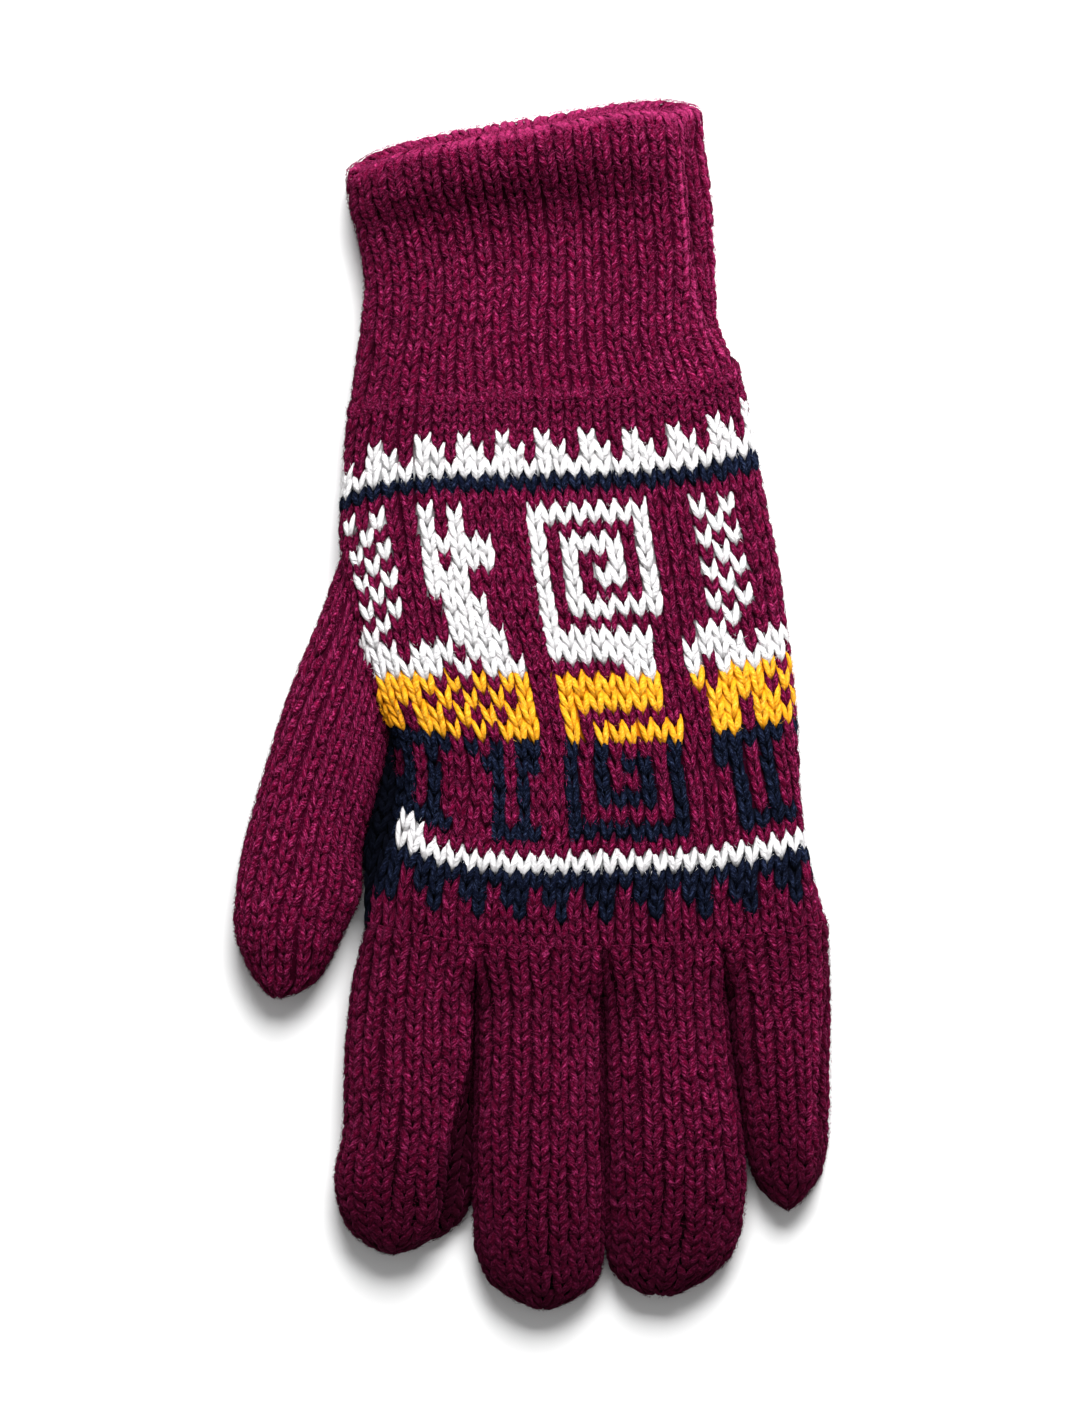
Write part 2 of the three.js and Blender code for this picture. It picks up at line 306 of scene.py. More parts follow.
class Rod:
    """A closed straight rod to bend strands from, with so many rings and sides."""

    def __init__(self, ring_count, sides, tip=1.0):
        form = bmesh.new()
        bmesh.ops.create_cone(form, cap_ends=True, segments=sides, radius1=1, radius2=tip, depth=1)
        if ring_count > 2:
            lengthwise = [e for e in form.edges if abs(e.verts[0].co.z - e.verts[1].co.z) > 0.5]
            bmesh.ops.subdivide_edges(form, edges=lengthwise, cuts=ring_count - 2, use_grid_fill=True)
        bmesh.ops.triangulate(form, faces=[f for f in form.faces if len(f.verts) > 4])
        form.verts.index_update()
        corners = np.array([v.co for v in form.verts])
        self.across, self.up = corners[:, 0], corners[:, 1]
        self.part = corners[:, 2] + 0.5
        self.faces = [[v.index for v in f.verts] for f in form.faces]
        self.mirrored = [face[::-1] for face in self.faces]
        form.free()

    def copies(self, count, mirrored=False):
        """The corner numbers and face sizes of many copies of the rod."""
        faces = self.mirrored if mirrored else self.faces
        one = np.array([i for face in faces for i in face])
        loops = np.arange(count)[:, None] * len(self.part) + one[None, :]
        return loops.ravel(), np.tile([len(face) for face in faces], count)


def leg(form, side, spread, slim):
    """A rod bent into the left or right leg: how far across, along and up its corners lie.

    spread is how far apart the legs lie and slim how thin they are, both 1 in plain yarn."""
    spots = form.part * (len(LEG_PATH) - 1)
    steps = np.arange(len(LEG_PATH))
    path = np.column_stack([np.interp(spots, steps, column) for column in LEG_PATH.T])
    lean = np.gradient(LEG_PATH[:, :2], axis=0)
    slope = unit(np.column_stack([np.interp(spots, steps, column) for column in lean.T]))
    sideways = form.across * path[:, 3] * slim
    across = LEG_MIDDLE + (path[:, 0] - LEG_MIDDLE) * spread - sideways * slope[:, 1]
    along = path[:, 1] + sideways * slope[:, 0]
    height = path[:, 2] + form.up * path[:, 4]
    return np.column_stack((side * across, along, height))


# The stitches under the glove lie on the table, so theirs is a plainer strand. No two
# stitches are alike: the fabric drifts, and each strays by a part of a row and a column,
# differs in size and, in millimetres, in height.
SHOWN_ROD = Rod(6, 6)
UNDER_ROD = Rod(4, 4)
DRIFT_ROWS = 0.07
DRIFT_COLUMNS = 0.05
STRAY_ROWS = 0.07
STRAY_COLUMNS = 0.03
UNEVEN = 0.08
UNEVEN_HEIGHT = 0.12
TONE_SPREAD = 0.3
TABLE_TOP = 0.03
CREST_FOOT = -0.30
CREST_HEIGHT = 0.72


def flow(row, way_round, seed):
    """A slow drift of the fabric, so that no two stitches line up exactly."""
    drift = 0
    for k in range(1, 5):
        start = seed * 2.4 + k * 1.7
        drift = drift + np.sin(row * (0.21 * k) + way_round * (k + 1) + start) / k
        drift = drift + np.sin(row * (0.11 * k) - way_round * (2 * k + 1) + 2.1 * start) / k
    return drift


def knit(name, skin, stitches, seed, relief=1.0, rib=0.0, plump=1.0, tone_and_painted_light=0.5, spread=1.0,
         slim=1.0, felt=0.0, reach=1.0):
    """One joined mesh of stitches, given as (row, column, columns spanned by a stitch).

    relief is how far they stand out, rib how deep the furrows between columns are, plump
    how wide and reach how long a stitch is, tone how light its yarn is, at random and as the
    painted light and shade of the piece, and felt how far fibres fill the pits and so take
    away their painted shade. Each may be a list with a value for every stitch, but not
    reach, spread and slim."""
    rng = np.random.default_rng(seed)
    row, column, span = np.array(stitches, float).T
    under = skin.faces_down(row, column)
    relief, tone_and_painted_light, felt, rib = (np.broadcast_to(each, len(row)) for each in (relief, tone_and_painted_light, felt, rib))
    span = plump * span
    way_round = 2 * math.pi * column / skin.columns
    row = row + DRIFT_ROWS * flow(row, way_round, 1) + rng.normal(0, STRAY_ROWS, len(row))
    column = column + DRIFT_COLUMNS * flow(row, way_round, 2) + rng.normal(0, STRAY_COLUMNS, len(row))
    points, uvs, tones_and_painted_light, crests_and_painted_light, loops, sizes = [], [], [], [], [], []
    corners = 0
    for form, chosen in ((SHOWN_ROD, ~under), (UNDER_ROD, under)):
        count = int(chosen.sum())
        turn = np.arctan2(form.up, form.across) / (2 * math.pi) + 0.5
        yarn = np.column_stack((form.part * LEG_LENGTH, turn))
        for side in (1, -1):
            shape = leg(form, side, spread, slim)
            wide = span[chosen] * rng.normal(1.0, UNEVEN, count)
            tall = reach * rng.normal(1.0, UNEVEN, count)
            sink = rng.normal(0.0, UNEVEN_HEIGHT, count)
            crest_and_painted_light = relief[chosen, None] * shape[None, :, 2]
            height = crest_and_painted_light + sink[:, None] - rib[chosen, None] * (2 * shape[None, :, 0]) ** 2
            rows = row[chosen, None] + shape[None, :, 1] * tall[:, None]
            columns = column[chosen, None] + shape[None, :, 0] * wide[:, None]
            placed = skin.at(rows, columns, height)
            placed[:, :, 2] = np.maximum(placed[:, :, 2], TABLE_TOP)
            some_loops, some_sizes = form.copies(count, mirrored=side < 0)
            loops.append(some_loops + corners)
            sizes.append(some_sizes)
            corners += count * len(shape)
            points.append(placed.reshape(-1, 3))
            uvs.append((yarn[None] + rng.uniform(0, 50, (count, 1, 2)) * (1, 0)).reshape(-1, 2))
            uneven_tone_and_painted_light = tone_and_painted_light[chosen] + rng.uniform(-TONE_SPREAD, TONE_SPREAD, count)
            tones_and_painted_light.append(np.repeat(uneven_tone_and_painted_light, len(shape)))
            # Painted shade: the low parts of each strand, and the glove's painted light, go into its
            # crest value.
            standing = np.clip((shape[None, :, 2] - CREST_FOOT) / CREST_HEIGHT, 0, 1)
            standing = standing + (1 - standing) * felt[chosen, None]
            crests_and_painted_light.append((standing * skin.painted_light_at(rows, columns)).ravel())
    return strands(name, np.concatenate(points) * MM, np.concatenate(loops),
                   np.concatenate(sizes), np.concatenate(uvs), np.concatenate(tones_and_painted_light),
                   np.concatenate(crests_and_painted_light))


def strands(name, co, loops, sizes, uv, tone_and_painted_light, crest_and_painted_light):
    """A mesh object from joined copies of one small form."""
    mesh = bpy.data.meshes.new(name)
    mesh.vertices.add(len(co))
    mesh.vertices.foreach_set("co", co.ravel())
    mesh.loops.add(len(loops))
    mesh.loops.foreach_set("vertex_index", loops.astype(np.int32))
    mesh.polygons.add(len(sizes))
    starts = np.concatenate(([0], np.cumsum(sizes)[:-1]))
    mesh.polygons.foreach_set("loop_start", starts.astype(np.int32))
    mesh.update(calc_edges=True)
    layer = mesh.uv_layers.new(name="yarn")
    layer.data.foreach_set("uv", uv[loops].ravel())
    for key, values in (("tone_and_painted_light", tone_and_painted_light), ("crest_and_painted_light", crest_and_painted_light)):
        mesh.attributes.new(key, "FLOAT", "POINT").data.foreach_set("value", values)
    mesh.polygons.foreach_set("use_smooth", np.ones(len(sizes), bool))
    mesh.validate()
    return set_out(name, mesh)


class Dye:
    """A shader socket that takes part in sums, in one material's node tree.

    A node's inputs go by their sockets' names, or by _ and a number where names repeat."""

    def __init__(self, tree, socket):
        self.tree = tree
        self.socket = socket

    def node(self, kind, settings=None, **inputs):
        made = self.tree.nodes.new(kind)
        for key, value in (settings or {}).items():
            setattr(made, key, value)
        self.feed(made, **inputs)
        return made

    def feed(self, made, **inputs):
        for key, value in inputs.items():
            name = int(key[1:]) if key[0] == "_" else key.replace("_", " ")
            if isinstance(value, Dye):
                self.tree.links.new(value.socket, made.inputs[name])
            else:
                made.inputs[name].default_value = value

    def out(self, kind, settings=None, output=0, **inputs):
        return Dye(self.tree, self.node(kind, settings, **inputs).outputs[output])

    def maths(self, operation, a, b):
        return self.out("ShaderNodeMath", {"operation": operation}, _0=a, _1=b)

    def __add__(self, other):
        return self.maths("ADD", self, other)

    def __radd__(self, other):
        return self.maths("ADD", other, self)

    def __mul__(self, other):
        return self.maths("MULTIPLY", self, other)

    def __rmul__(self, other):
        return self.maths("MULTIPLY", other, self)

    def mixed(self, first, second):
        """The first colour where this value is 0, the second where it is 1."""
        return self.out("ShaderNodeMix", {"data_type": "RGBA", "clamp_factor": True}, output=2,
                        _0=self, _6=first, _7=second)


def wool(name, pit_shade, deep, body, pale, streaks, sheen):
    """Spun wool: a deep, a main and a pale colour, blended by the fibres of the strand, and
    the painted shade of the pits between strands. streaks is how much its pale fibres show."""
    material = bpy.data.materials.new(name)
    material.use_nodes = True
    tree = material.node_tree
    tree.nodes.clear()
    start = Dye(tree, None)
    uv = start.out("ShaderNodeUVMap", {"uv_map": "yarn"})
    parts = start.node("ShaderNodeSeparateXYZ", Vector=uv)
    along, turn = Dye(tree, parts.outputs[0]), Dye(tree, parts.outputs[1])
    tone_and_painted_light = start.out("ShaderNodeAttribute", {"attribute_name": "tone_and_painted_light"}, output=2)
    crest_and_painted_light = start.out("ShaderNodeAttribute", {"attribute_name": "crest_and_painted_light"}, output=2)
    lay = start.out("ShaderNodeCombineXYZ", X=along * 1.1, Y=turn * 8 + along * 1.6, Z=tone_and_painted_light * 9)
    fibre = start.out("ShaderNodeTexNoise", Vector=lay, Scale=1.5, Detail=3.0, Roughness=0.6)
    marl = start.out("ShaderNodeTexNoise", Vector=lay, Scale=0.8, Detail=2.0, Roughness=0.6)
    dark = start.out("ShaderNodeMapRange", Value=marl, From_Min=0.40, From_Max=0.54)
    light = start.out("ShaderNodeMapRange", Value=fibre, From_Min=0.52, From_Max=0.62)
    # Painted highlight: where the painted light goes over 1 the colour turns pale, as on pale loose
    # hairs.
    loose_and_painted_highlight = start.out("ShaderNodeMapRange", Value=crest_and_painted_light, From_Min=1.0, From_Max=2.0)
    colour = (dark * 0.55 + tone_and_painted_light * 0.5).mixed(deep, body)
    colour = (light * streaks + loose_and_painted_highlight).mixed(colour, pale)
    grain = start.out("ShaderNodeTexNoise", Vector=start.out("ShaderNodeTexCoord", output=3),
                      Scale=2400.0, Detail=2.0, Roughness=0.6)
    speck = start.out("ShaderNodeMapRange", Value=grain, From_Min=0.38, From_Max=0.54,
                      To_Min=0.25, To_Max=1.12)
    # Painted shade: where a strand sinks or lies in a fold it takes the pits' colour, flecked at
    # random.
    colour = (crest_and_painted_light * speck).mixed(pit_shade, colour)
    bump = start.out("ShaderNodeBump", Strength=0.9, Distance=0.0007, Height=marl + fibre * 0.6)
    shade = start.out("ShaderNodeBsdfPrincipled", Base_Color=colour, Normal=bump, Roughness=0.95,
                      Specular_IOR_Level=0.04, Sheen_Weight=sheen, Sheen_Roughness=0.4,
                      Sheen_Tint=pale)
    start.node("ShaderNodeOutputMaterial", Surface=shade)
    return material


# Each wool's first colour is the painted shade of its pits.
BURGUNDY = wool("burgundy_wool", (0.016, 0.0002, 0.004, 1), (0.052, 0.0004, 0.010, 1),
                (0.182, 0.0014, 0.033, 1), (0.50, 0.040, 0.175, 1), 0.92, 0.32)
WHITE = wool("white_wool", (0.74, 0.72, 0.73, 1), (0.84, 0.83, 0.84, 1), (0.92, 0.92, 0.92, 1),
             (0.95, 0.95, 0.95, 1), 0.6, 0.1)
YELLOW = wool("yellow_wool", (0.92, 0.34, 0.008, 1), (0.98, 0.42, 0.012, 1),
              (1.0, 0.55, 0.035, 1), (1.0, 0.68, 0.12, 1), 0.7, 0.05)
NAVY = wool("navy_wool", (0.0006, 0.0008, 0.0026, 1), (0.0022, 0.0034, 0.012, 1),
            (0.0064, 0.0105, 0.030, 1), (0.045, 0.065, 0.14, 1), 0.7, 0.1)
YARNS = {".": ("burgundy", BURGUNDY), "W": ("white", WHITE), "Y": ("yellow", YELLOW),
         "N": ("navy", NAVY)}


def place(piece, material, slot, *nodes):
    """Gives a finished piece its wool and its body, and hides the solids it stands for."""
    piece.data.materials.append(material)
    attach(piece, "root")
    if nodes:
        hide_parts(*nodes)


# The ground of the fabric is what shows between the stitches: the backs of the loops. It
# is a closed wall, a little below the stitches outside and smooth within. Its dye is darker
# than the yarn, painted shade between the stitches.
GROUND_SINK = 0.8
GROUND_LOWEST = 0.5
GROUND_STEP = 0.5
GROUND_DYE_AND_SHADE = {".": (0.045, 0.0008, 0.011), "W": (0.60, 0.60, 0.61), "Y": (0.70, 0.20, 0.004),
              "N": (0.0018, 0.0024, 0.007)}


def ground(name, skin, rows, inner_depth, tip=None, yarn_at=None):
    """A closed wall under the stitches, over the given rows of the skin."""
    around = np.arange(2 * skin.columns + 1) / 2 - skin.columns // 2 + 0.5
    rows = np.asarray(rows, float)
    outer = skin.at(*np.broadcast_arrays(rows[:, None], around[None, :]), -GROUND_SINK)
    inner = skin.at(*np.broadcast_arrays(rows[::-1, None], around[None, :]), -inner_depth)
    stack, row_of = [outer, inner, outer[:1]], [rows, rows[::-1], rows[:1]]
    if tip is not None:
        tips = [np.broadcast_to(place, outer[:1].shape) for place in tip]
        stack[1:1] = tips
        row_of[1:1] = [rows[-1:], rows[-1:]]
    lines = np.concatenate(stack)
    lines[:, :, 2] = np.maximum(lines[:, :, 2], GROUND_LOWEST)
    form = bmesh.new()
    bmesh.ops.create_grid(form, x_segments=lines.shape[1] - 1, y_segments=lines.shape[0] - 1, size=1)
    form.verts.ensure_lookup_table()
    dye_and_painted_shade = form.verts.layers.float_color.new("dye_and_painted_shade")
    spots = [(row, column) for row in np.concatenate(row_of) for column in around]
    # Painted shade: the glove's painted light darkens the ground's dye.
    painted_ground_light = skin.painted_light_at(*np.array(spots).T) ** 2
    places = lines.reshape(-1, 3) * MM
    for vertex, co, (row, column), painted_light_here in zip(form.verts, places, spots, painted_ground_light):
        vertex.co = co
        yarn = "." if yarn_at is None else yarn_at(row, column)
        vertex[dye_and_painted_shade] = (*(painted_light_here * v for v in GROUND_DYE_AND_SHADE[yarn]), 1)
    bmesh.ops.remove_doubles(form, verts=form.verts, dist=1e-6)
    bmesh.ops.recalc_face_normals(form, faces=form.faces)
    mesh = bpy.data.meshes.new(name)
    form.to_mesh(mesh)
    form.free()
    mesh.polygons.foreach_set("use_smooth", np.ones(len(mesh.polygons), bool))
    return set_out(name, mesh)


backing = bpy.data.materials.new("loop_backs")
backing.use_nodes = True
backs = Dye(backing.node_tree, None)
grain = backs.out("ShaderNodeTexNoise", Vector=backs.out("ShaderNodeTexCoord", output=3),
                  Scale=900.0, Detail=3.0, Roughness=0.6)
# The dye attribute holds the yarn's colour with its painted shade.
yarn_dye_and_painted_shade = backs.out("ShaderNodeAttribute", {"attribute_name": "dye_and_painted_shade"})
shaded = backs.out("ShaderNodeMix", {"data_type": "RGBA", "blend_type": "MULTIPLY"}, output=2,
                   _0=1.0, _6=yarn_dye_and_painted_shade, _7=grain.mixed((0.6, 0.6, 0.6, 1), (1.0, 1.0, 1.0, 1)))
knobs = backs.out("ShaderNodeBump", Strength=0.6, Distance=0.0006, Height=grain)
backs.feed(backing.node_tree.nodes["Principled BSDF"], Base_Color=shaded, Normal=knobs,
           Roughness=0.95, Specular_IOR_Level=0.03)

# The cuff's skin starts inside the mouth, at the end of the turned-in hem, comes out over
# the roll and runs down the outside.
cuff_run = run_through(CUFF)
turned_in = rings(cuff_run, HEM)
hem_in = turned_in[travelled(turned_in[:, 0]) < HEM_DEPTH][::-1]
hem_roll = np.concatenate([
    rings(slid(cuff_run[:1], HEM / 2 * math.sin(angle)), HEM / 2 * (1 + math.cos(angle)))
    for angle in np.linspace(0, math.pi, HEM_STEPS)[1:-1]])
cuff_dense = np.concatenate((hem_in, hem_roll, rings(cuff_run), rings(slid(cuff_run[-1:], -RUN_ON))))
cuff_length = travelled(cuff_dense[:, 0])[-1] - RUN_ON
cuff_rows = int(cuff_length // CUFF_ROW)
cuff_places = cuff_length - CUFF_ROW * np.arange(cuff_rows + 1)[::-1]
cuff_places = np.append(cuff_places, cuff_length + CUFF_ROW * np.array((0.5, 1.0, 1.5)))
cuff_skin = Skin(cuff_dense, (0, cuff_places), CUFF_COLUMNS)
cuff_stitches = [(row, column, 1.0) for row in range(1, cuff_rows + 1)
                 for column in range(CUFF_COLUMNS)]


# The hand is worked on with four yarns. The chart is one repeat of the traditional
# Andean band, row by row from the cuff, one letter for each stitch: a dot is burgundy,
# W white, Y golden yellow and N navy. Teeth, a llama, a square spiral and a leaf.
CHART = """
.W..W..W..W..W..W..W..W.
.WW.WW.WW.WW.WW.WW.WW.WW
WWWWWWWWWWWWWWWWWWWWWWWW
NNNNNNNNNNNNNNNNNNNNNNNN
........................
WWWWWWWW...W.W..W.W.....
W......W....W...W.W.....
W.WWWW.W...W.W..WWWWW...
W.W..W.W....W...W.WWW...
W.W.WW.W...W.W..WWW.....
W.W....W....W...WWW.....
W.WWWWWW...W.W...WWW....
W...........W....WWW....
WWWWWWW...WW.....WWWW...
WWWWWWW..WWWW.WWW.WWW...
.....WW..W.WWWWW.W.WWW..
YYYYYYY..Y.YYYY.Y.Y.YY..
YYYYYYY...YYYY.Y.Y.Y.Y..
Y.........YY.YY.Y.Y.YY..
Y.YYYYYY..YY.YYY.Y.YYY..
N.N....N..NNNNN.N.N.NN..
N.N.NN.N..NN.N...NN.NN..
N.N..N.N...N.N....N.N...
N.NNNN.N...N.N....N.N...
N......N...N.N....N.N...
NNNNNNNN...NNNN...NNNN..
........................
WWWWWWWWWWWWWWWWWWWWWWWW
NNNNNNNNNNNNNNNNNNNNNNNN
.NN.NN.NN.NN.NN.NN.NN.NN
..N..N..N..N..N..N..N..N
""".split()
HAND = [
    (-39.8, 64.6, 44.6, 66.8, 14.0, 14.8, 14.4, -0.4, -3.0, 5.0, 0.0, 0.4, 0.6),
    (-41.0, 55.0, 46.5, 57.4, 14.2, 15.0, 14.4, -0.6, -5.0, 5.4, 0.0, 0.2),
    (-41.5, 40.8, 49.7, 43.4, 14.4, 15.2, 14.2, -1.0, -3.0, 1.6),
    (-40.6, 29.4, 52.2, 31.4, 15.6, 15.4, 14.2, -1.6, -2.5, 1.4, 0.0, -0.1),
    (-38.2, 17.0, 54.1, 18.6, 17.0, 15.4, 14.2, -2.2, -2.2, 0.8, 0.0, -0.05),
    (-34.8, 4.6, 55.8, 5.6, 17.0, 15.4, 14.2, -2.8, -2.4, 1.2, 0.0, -0.2),
    (-31.4, -7.6, 56.8, -7.4, 15.6, 15.2, 14.0, -3.4, 1.0, 1.8, -0.8, 0.2),
    (-33.4, -18.8, 57.2, -19.4, 14.0, 15.0, 13.8, -4.0, 3.0, 2.0, -4.4, 2.4),
    (-36.0, -30.0, 58.4, -30.6, 13.6, 14.6, 13.6, -4.6, 4.0, 1.5, -5.4, 3.0),
    (-36.3, -39.4, 60.6, -39.8, 13.4, 14.2, 13.4, -5.0, 3.0, 1.0, -2.2, 1.3),
    (-35.9, -48.6, 63.4, -48.2, 13.0, 14.0, 13.0, -5.0),
]
HAND_COLUMNS = 64
FIRST_COLUMN = -22
MIDDLE_COLUMN = 1.15

# Plain rows are worked above and below the chart. Its own rows grow taller towards the
# fingers, and the shift is how far up some of them are drawn.
PLAIN_ABOVE = 4
PLAIN_BELOW = 2
PLAIN_ROW = 2.3
PLAIN_ROW_BELOW = 1.3 * PLAIN_ROW
FIRST_CHART_Y = 54.9
CHART_ROW = 3.154
ROW_GROWTH = 0.00765
ROW_SHIFT = ((0, 3, 5, 12, 16, 19, 25, 27, 30), (1.9, 2.0, 1.5, 1.3, 1.5, 1.3, 0.6, 1.1, 0.9))


def chart_y(row):
    """How far up the glove a row of the chart lies, along the middle of the back."""
    plain = FIRST_CHART_Y - CHART_ROW * row - ROW_GROWTH * row * row
    return plain + np.interp(row, *ROW_SHIFT)


hand_run = run_through(HAND)
hand_dense = np.concatenate((rings(slid(hand_run[:1], RUN_ON)), rings(hand_run),
                             rings(slid(hand_run[-1:], -RUN_ON))))
row_y = [chart_y(0) + PLAIN_ROW * k for k in range(PLAIN_ABOVE + 1, 0, -1)]
row_y += [chart_y(k) for k in range(len(CHART))]
row_y += [chart_y(len(CHART) - 1) - PLAIN_ROW_BELOW * k for k in range(1, PLAIN_BELOW + 2)]
first_row = -(PLAIN_ABOVE + 1)
hand_places = np.interp(-np.array(row_y), -hand_dense[:, 0, 1], travelled(hand_dense[:, 0]))
hand_skin = Skin(hand_dense, (first_row, hand_places), HAND_COLUMNS, MIDDLE_COLUMN)


def charted(row, column):
    """The yarn of the stitch at or next to a place on the hand."""
    row, column = math.floor(row + 0.5), math.floor(column + 0.5)
    return CHART[row][column % len(CHART[0])] if 0 <= row < len(CHART) else "."


# Beside the thumb the upper layer of the hand stops at a fold, given as (y, x), and the
# lower layer lies in a dark gap, where navy stitches and near-black wool are painted shade.
CREVICE_TOP = -8.0
PAST_THE_FOLD = 0.2
TUCK = SECTION.index("tuck")
FOLD = sorted((row[1], row[0] + abs(row[TUCK] if len(row) > TUCK else 0)) for row in HAND)


def in_crevice(row, column):
    """Whether a stitch lies on the lower layer, deep in the gap beside the thumb."""
    x, y, _ = hand_skin.at(row, column)
    return y < CREVICE_TOP and x < np.interp(y, *zip(*FOLD)) - PAST_THE_FOLD


# The fabric is pulled aside here and there: over which rows, how much of it in each, over
# which columns, and how many columns aside.
PULLS = (
    ((0, 1), (1, 1), (-22, -14, -11, -8, -3, 0, 4, 8, 11, 13, 18, 26, 34),
     (0, 0.40, 0.45, 0.50, 0.10, -0.16, 0, 0.25, 0.42, 0.55, 0.60, 0.3, 0)),
    ((3.5, 7.5), (1, 0), (-22, -16, -13, -10, -7, 8, 18, 30),
     (-0.5, -1.15, -0.95, -0.6, -0.1, 0, -0.35, 0)),
    ((15, 16, 19, 21, 25, 27), (0, -0.5, -0.5, 1, 1, 0), (-8, 0, 8, 13), (0, -0.35, -0.35, 0)),
)
THICK_START = (26, (-14, -13, -12))
TURNED_UNDER = (16, 17, 18)
BLANK_ROW = 4
LLAMA_BODY = 13


def pulled(row, column):
    """How many columns aside a stitch lies."""
    return sum(np.interp(row, rows, much) * np.interp(column, columns, aside)
               for rows, much, columns, aside in PULLS)


def yarn_of(row, column):
    """The chart's yarn, but navy, as painted shade, fills the dark gap beside the thumb, the
    white line starts there two rows thick, and the next llama starts behind the right edge."""
    # Painted shade: the stitches in the gap beside the thumb are navy, whatever the chart says.
    if in_crevice(row, column):
        return "N"
    thick_row, thick_columns = THICK_START
    if math.floor(row + 0.5) == thick_row and math.floor(column + 0.5) in thick_columns:
        return "W"
    if math.floor(column + 0.5) in TURNED_UNDER and BLANK_ROW < row < LLAMA_BODY:
        return "."
    return charted(row, column)


def yarn_behind(row, column):
    """The yarn of the loop backs at a place on the hand."""
    jog = FIRST_COLUMN - 0.5
    column = (column - jog) % HAND_COLUMNS + jog
    return yarn_of(row, column - pulled(row, column))


# A stitch of each yarn is so plump, and stands out so far.
PLUMPNESS = {".": 1.0, "W": 1.17, "Y": 1.12, "N": 1.08}
RELIEF = {".": 0.75, "W": 0.6, "Y": 0.6, "N": 0.75}
hand_stitches = {key: [] for key in YARNS}
for row in range(-PLAIN_ABOVE, len(CHART) + PLAIN_BELOW):
    for column in range(FIRST_COLUMN, FIRST_COLUMN + HAND_COLUMNS):
        hand_stitches[yarn_of(row, column)].append((row, column + pulled(row, column), 1.0))


# The thumb is a plain tube that grows out of a slit in the hand's side and closes to a
# blunt point.
THUMB = [
    (-41.2, 31.6, -30.4, -7.2, 9.8, 10.4, 9.8, 0.0),
    (-45.4, 19.6, -32.6, -14.6, 12.0, 12.8, 12.0, 0.4),
    (-51.8, 3.8, -34.8, -22.4, 13.2, 14.0, 13.2, 0.6),
    (-57.8, -14.8, -37.2, -31.4, 13.2, 14.0, 13.0, 0.6),
    (-62.6, -32.8, -37.4, -41.0, 12.8, 13.6, 12.6, 0.4),
    (-64.2, -46.8, -40.8, -49.0, 12.0, 12.6, 12.0, 0.0),
    (-62.6, -54.0, -43.8, -55.2, 10.2, 10.8, 10.2, -0.8),
    (-59.6, -59.8, -48.0, -60.6, 8.0, 8.4, 8.0, -1.0),
]
THUMB_TIP = (-55.2, -63.2, 4.6)
THUMB_COLUMNS = 18
THUMB_ROW = 2.7
THUMB_STITCH = 3.6
FEWEST_STITCHES = 5
ROOT_REACH = 13.0
ROOT_STEP = 1.0


def closed_run(table, tip):
    """Sections that run on into a rounded tip."""
    last = dict(zip(SECTION, table[-1]))
    point = dict.fromkeys(SECTION, 0.0)
    point.update(left_x=tip[0], left_y=tip[1], right_x=tip[0], right_y=tip[1],
                 rise_l=tip[2], rise=tip[2], rise_r=tip[2], floor=tip[2])
    beyond = dict(point)
    beyond.update(left_x=last["right_x"], left_y=last["right_y"], right_x=last["left_x"],
                  right_y=last["left_y"], rise_l=0.0, rise=0.0, rise_r=0.0, floor=last["rise"])
    rows = [*table, tuple(point[name] for name in SECTION)]
    return run_through(rows, after=tuple(beyond[name] for name in SECTION))


def grown_out(dense, along, root):
    """A finger's sections, raised at its root to the height of the section it grows out of."""
    back = root[root[:, 2] > root[:, 2].max() / 2]
    back = back[np.argsort(back[:, 0])]
    part = np.clip(along / ROOT_REACH, 0, 1)[:, None]
    held = 1 - part * part * (3 - 2 * part)
    middle = (dense[:, :, 2].max(axis=1) + dense[:, :, 2].min(axis=1))[:, None] / 2
    rise = np.interp(dense[:, :, 0], back[:, 0], back[:, 2]) - dense[:, :, 2]
    grown = dense.copy()
    grown[:, :, 2] += np.where(dense[:, :, 2] > middle, held * np.maximum(rise, 0), 0)
    return grown


def finger_skin(table, tip, columns, pitch, root=None):
    """The skin of a closed tube and the number of rows worked on it."""
    run = closed_run(table, tip)
    dense = np.concatenate((rings(slid(run[:1], RUN_ON)), rings(run[:-1])))
    along = travelled(dense[:, 0])
    lead = RUN_ON
    if root is not None:
        dense = grown_out(dense, along - lead, root)
        lead += ROOT_STEP
    rows = int((along[-1] - lead) // pitch)
    places = lead + pitch * np.arange(-1, rows + 2)
    return Skin(dense, (-1, np.minimum(places, along[-1])), columns), rows


def finger_stitches(skin, rows, columns, pitch_across):
    """Whole rows, with fewer stitches in them as the tip narrows."""
    stitches = []
    for row in range(-1, rows + 1):
        fit = min(columns, round(float(skin.girth_at(row)) / pitch_across))
        fit = max(FEWEST_STITCHES, fit)
        for k in range(fit):
            stitches.append((row, k * columns / fit, columns / fit))
    return stitches


thumb_skin, thumb_rows = finger_skin(THUMB, THUMB_TIP, THUMB_COLUMNS, THUMB_ROW)
thumb_stitches = finger_stitches(thumb_skin, thumb_rows, THUMB_COLUMNS, THUMB_STITCH)


